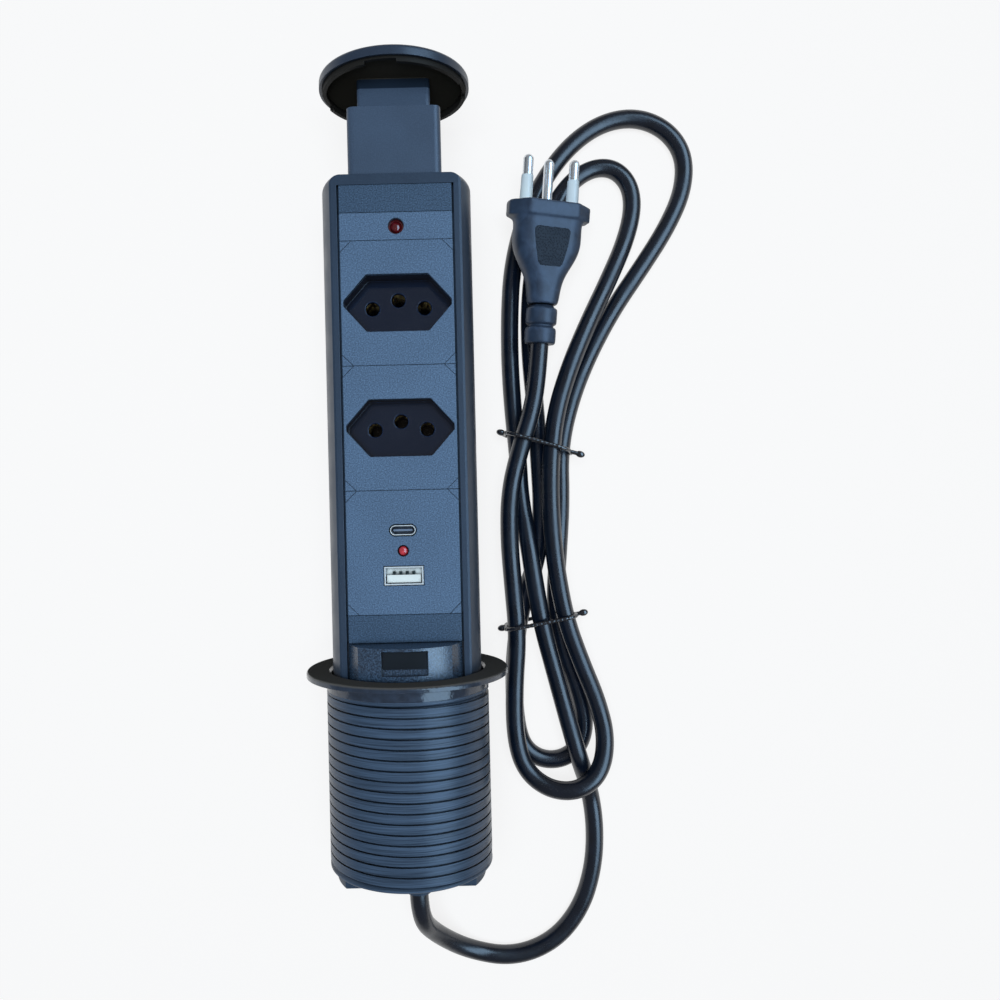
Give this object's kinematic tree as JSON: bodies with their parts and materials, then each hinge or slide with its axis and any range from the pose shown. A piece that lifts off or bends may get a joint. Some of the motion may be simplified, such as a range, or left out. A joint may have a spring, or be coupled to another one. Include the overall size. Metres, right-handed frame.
{
  "type": "pop up desk socket",
  "caption": "Round pop up desk socket with household outlets, charging ports, a push latch, a sprung cap, a threaded desk sleeve and a cord with its plug tied in a hank.",
  "frame": {"origin": "on the sleeve's axis, level with the underside of the desk flange", "axes": "+Y along the tower towards its cap, +Z the way the outlets face, +X to the right seen from the outlets' side; the socket lies on its back, as in the picture"},
  "size_m": [0.1572, 0.348, 0.074],
  "materials": {
    "slate_matte": "fine moulded grain",
    "slate_smooth": "smooth satin",
    "slate_gloss": "polished",
    "black_matte": "satin",
    "dark_brown": "matte",
    "cord_black": "glossy",
    "tie_black": "glossy",
    "sleeve_white": "satin",
    "pin_metal": "bright",
    "brass": "bright",
    "port_steel": "bright",
    "red_lens": "dark red lens",
    "board_green": "varnished",
    "spring_steel": "drawn wire",
    "screw_steel": "zinc plated",
    "winding_yellow": "tape"
  },
  "bodies": {
    "sleeve": {"flange_ring": "slate_gloss", "threaded_sleeve": "slate_smooth"},
    "cap_plunger": {"cap": "slate_smooth", "cap_skirt": "dark_brown", "cap_stem": "black_matte"},
    "button": {"release_button": "black_matte"},
    "tower": {"tower_shell": "slate_smooth", "tower_foot": "black_matte", "foot_screws": "screw_steel", "cable_gland": "black_matte", "gland_nut": "black_matte", "neck_housing": "slate_smooth", "cap_spring": "spring_steel", "blank_strip_top": "slate_matte", "led_strip": "slate_matte", "power_led": "red_lens", "outlet_frame_upper": "slate_smooth", "outlet_frame_lower": "slate_smooth", "outlet_panel_upper": "slate_matte", "outlet_panel_lower": "slate_matte", "outlet_socket_upper": "slate_gloss", "outlet_socket_lower": "slate_gloss", "live_busbar": "brass", "neutral_busbar": "brass", "earth_busbar": "brass", "usb_frame": "slate_smooth", "usb_panel": "slate_matte", "usb_c_shell": "port_steel", "usb_c_tongue": "black_matte", "usb_a_shell": "port_steel", "usb_a_tongue": "sleeve_white", "usb_a_contacts": "brass", "usb_led": "red_lens", "usb_board": "board_green", "transformer": "winding_yellow", "capacitor": "black_matte", "blank_strip_bottom": "slate_matte", "latch_block": "slate_smooth", "spring_seat": "black_matte", "button_spring": "spring_steel", "cord_lead": "cord_black", "cord_hank": "cord_black", "plug_body": "slate_smooth", "plug_strain_relief": "black_matte", "plug_pins": "pin_metal", "plug_earth_pin": "pin_metal", "pin_sleeves": "sleeve_white", "cable_tie_upper": "tie_black", "cable_tie_lower": "tie_black"}
  },
  "joints": [
    {"name": "tower_slide", "type": "slide", "parent": "sleeve", "child": "tower", "axis": [0, -1, 0], "range_m": [0, 0.2055]},
    {"name": "cap_press", "type": "slide", "parent": "tower", "child": "cap_plunger", "axis": [0, -1, 0], "range_m": [0, 0.0105], "stiffness_N_per_m": 200, "springref_m": -0.01, "deforming": ["cap_spring"]},
    {"name": "button_press", "type": "slide", "parent": "tower", "child": "button", "axis": [0, 0, -1], "range_m": [0, 0.0025], "stiffness_N_per_m": 400, "springref_m": -0.002, "deforming": ["button_spring"]}
  ]
}
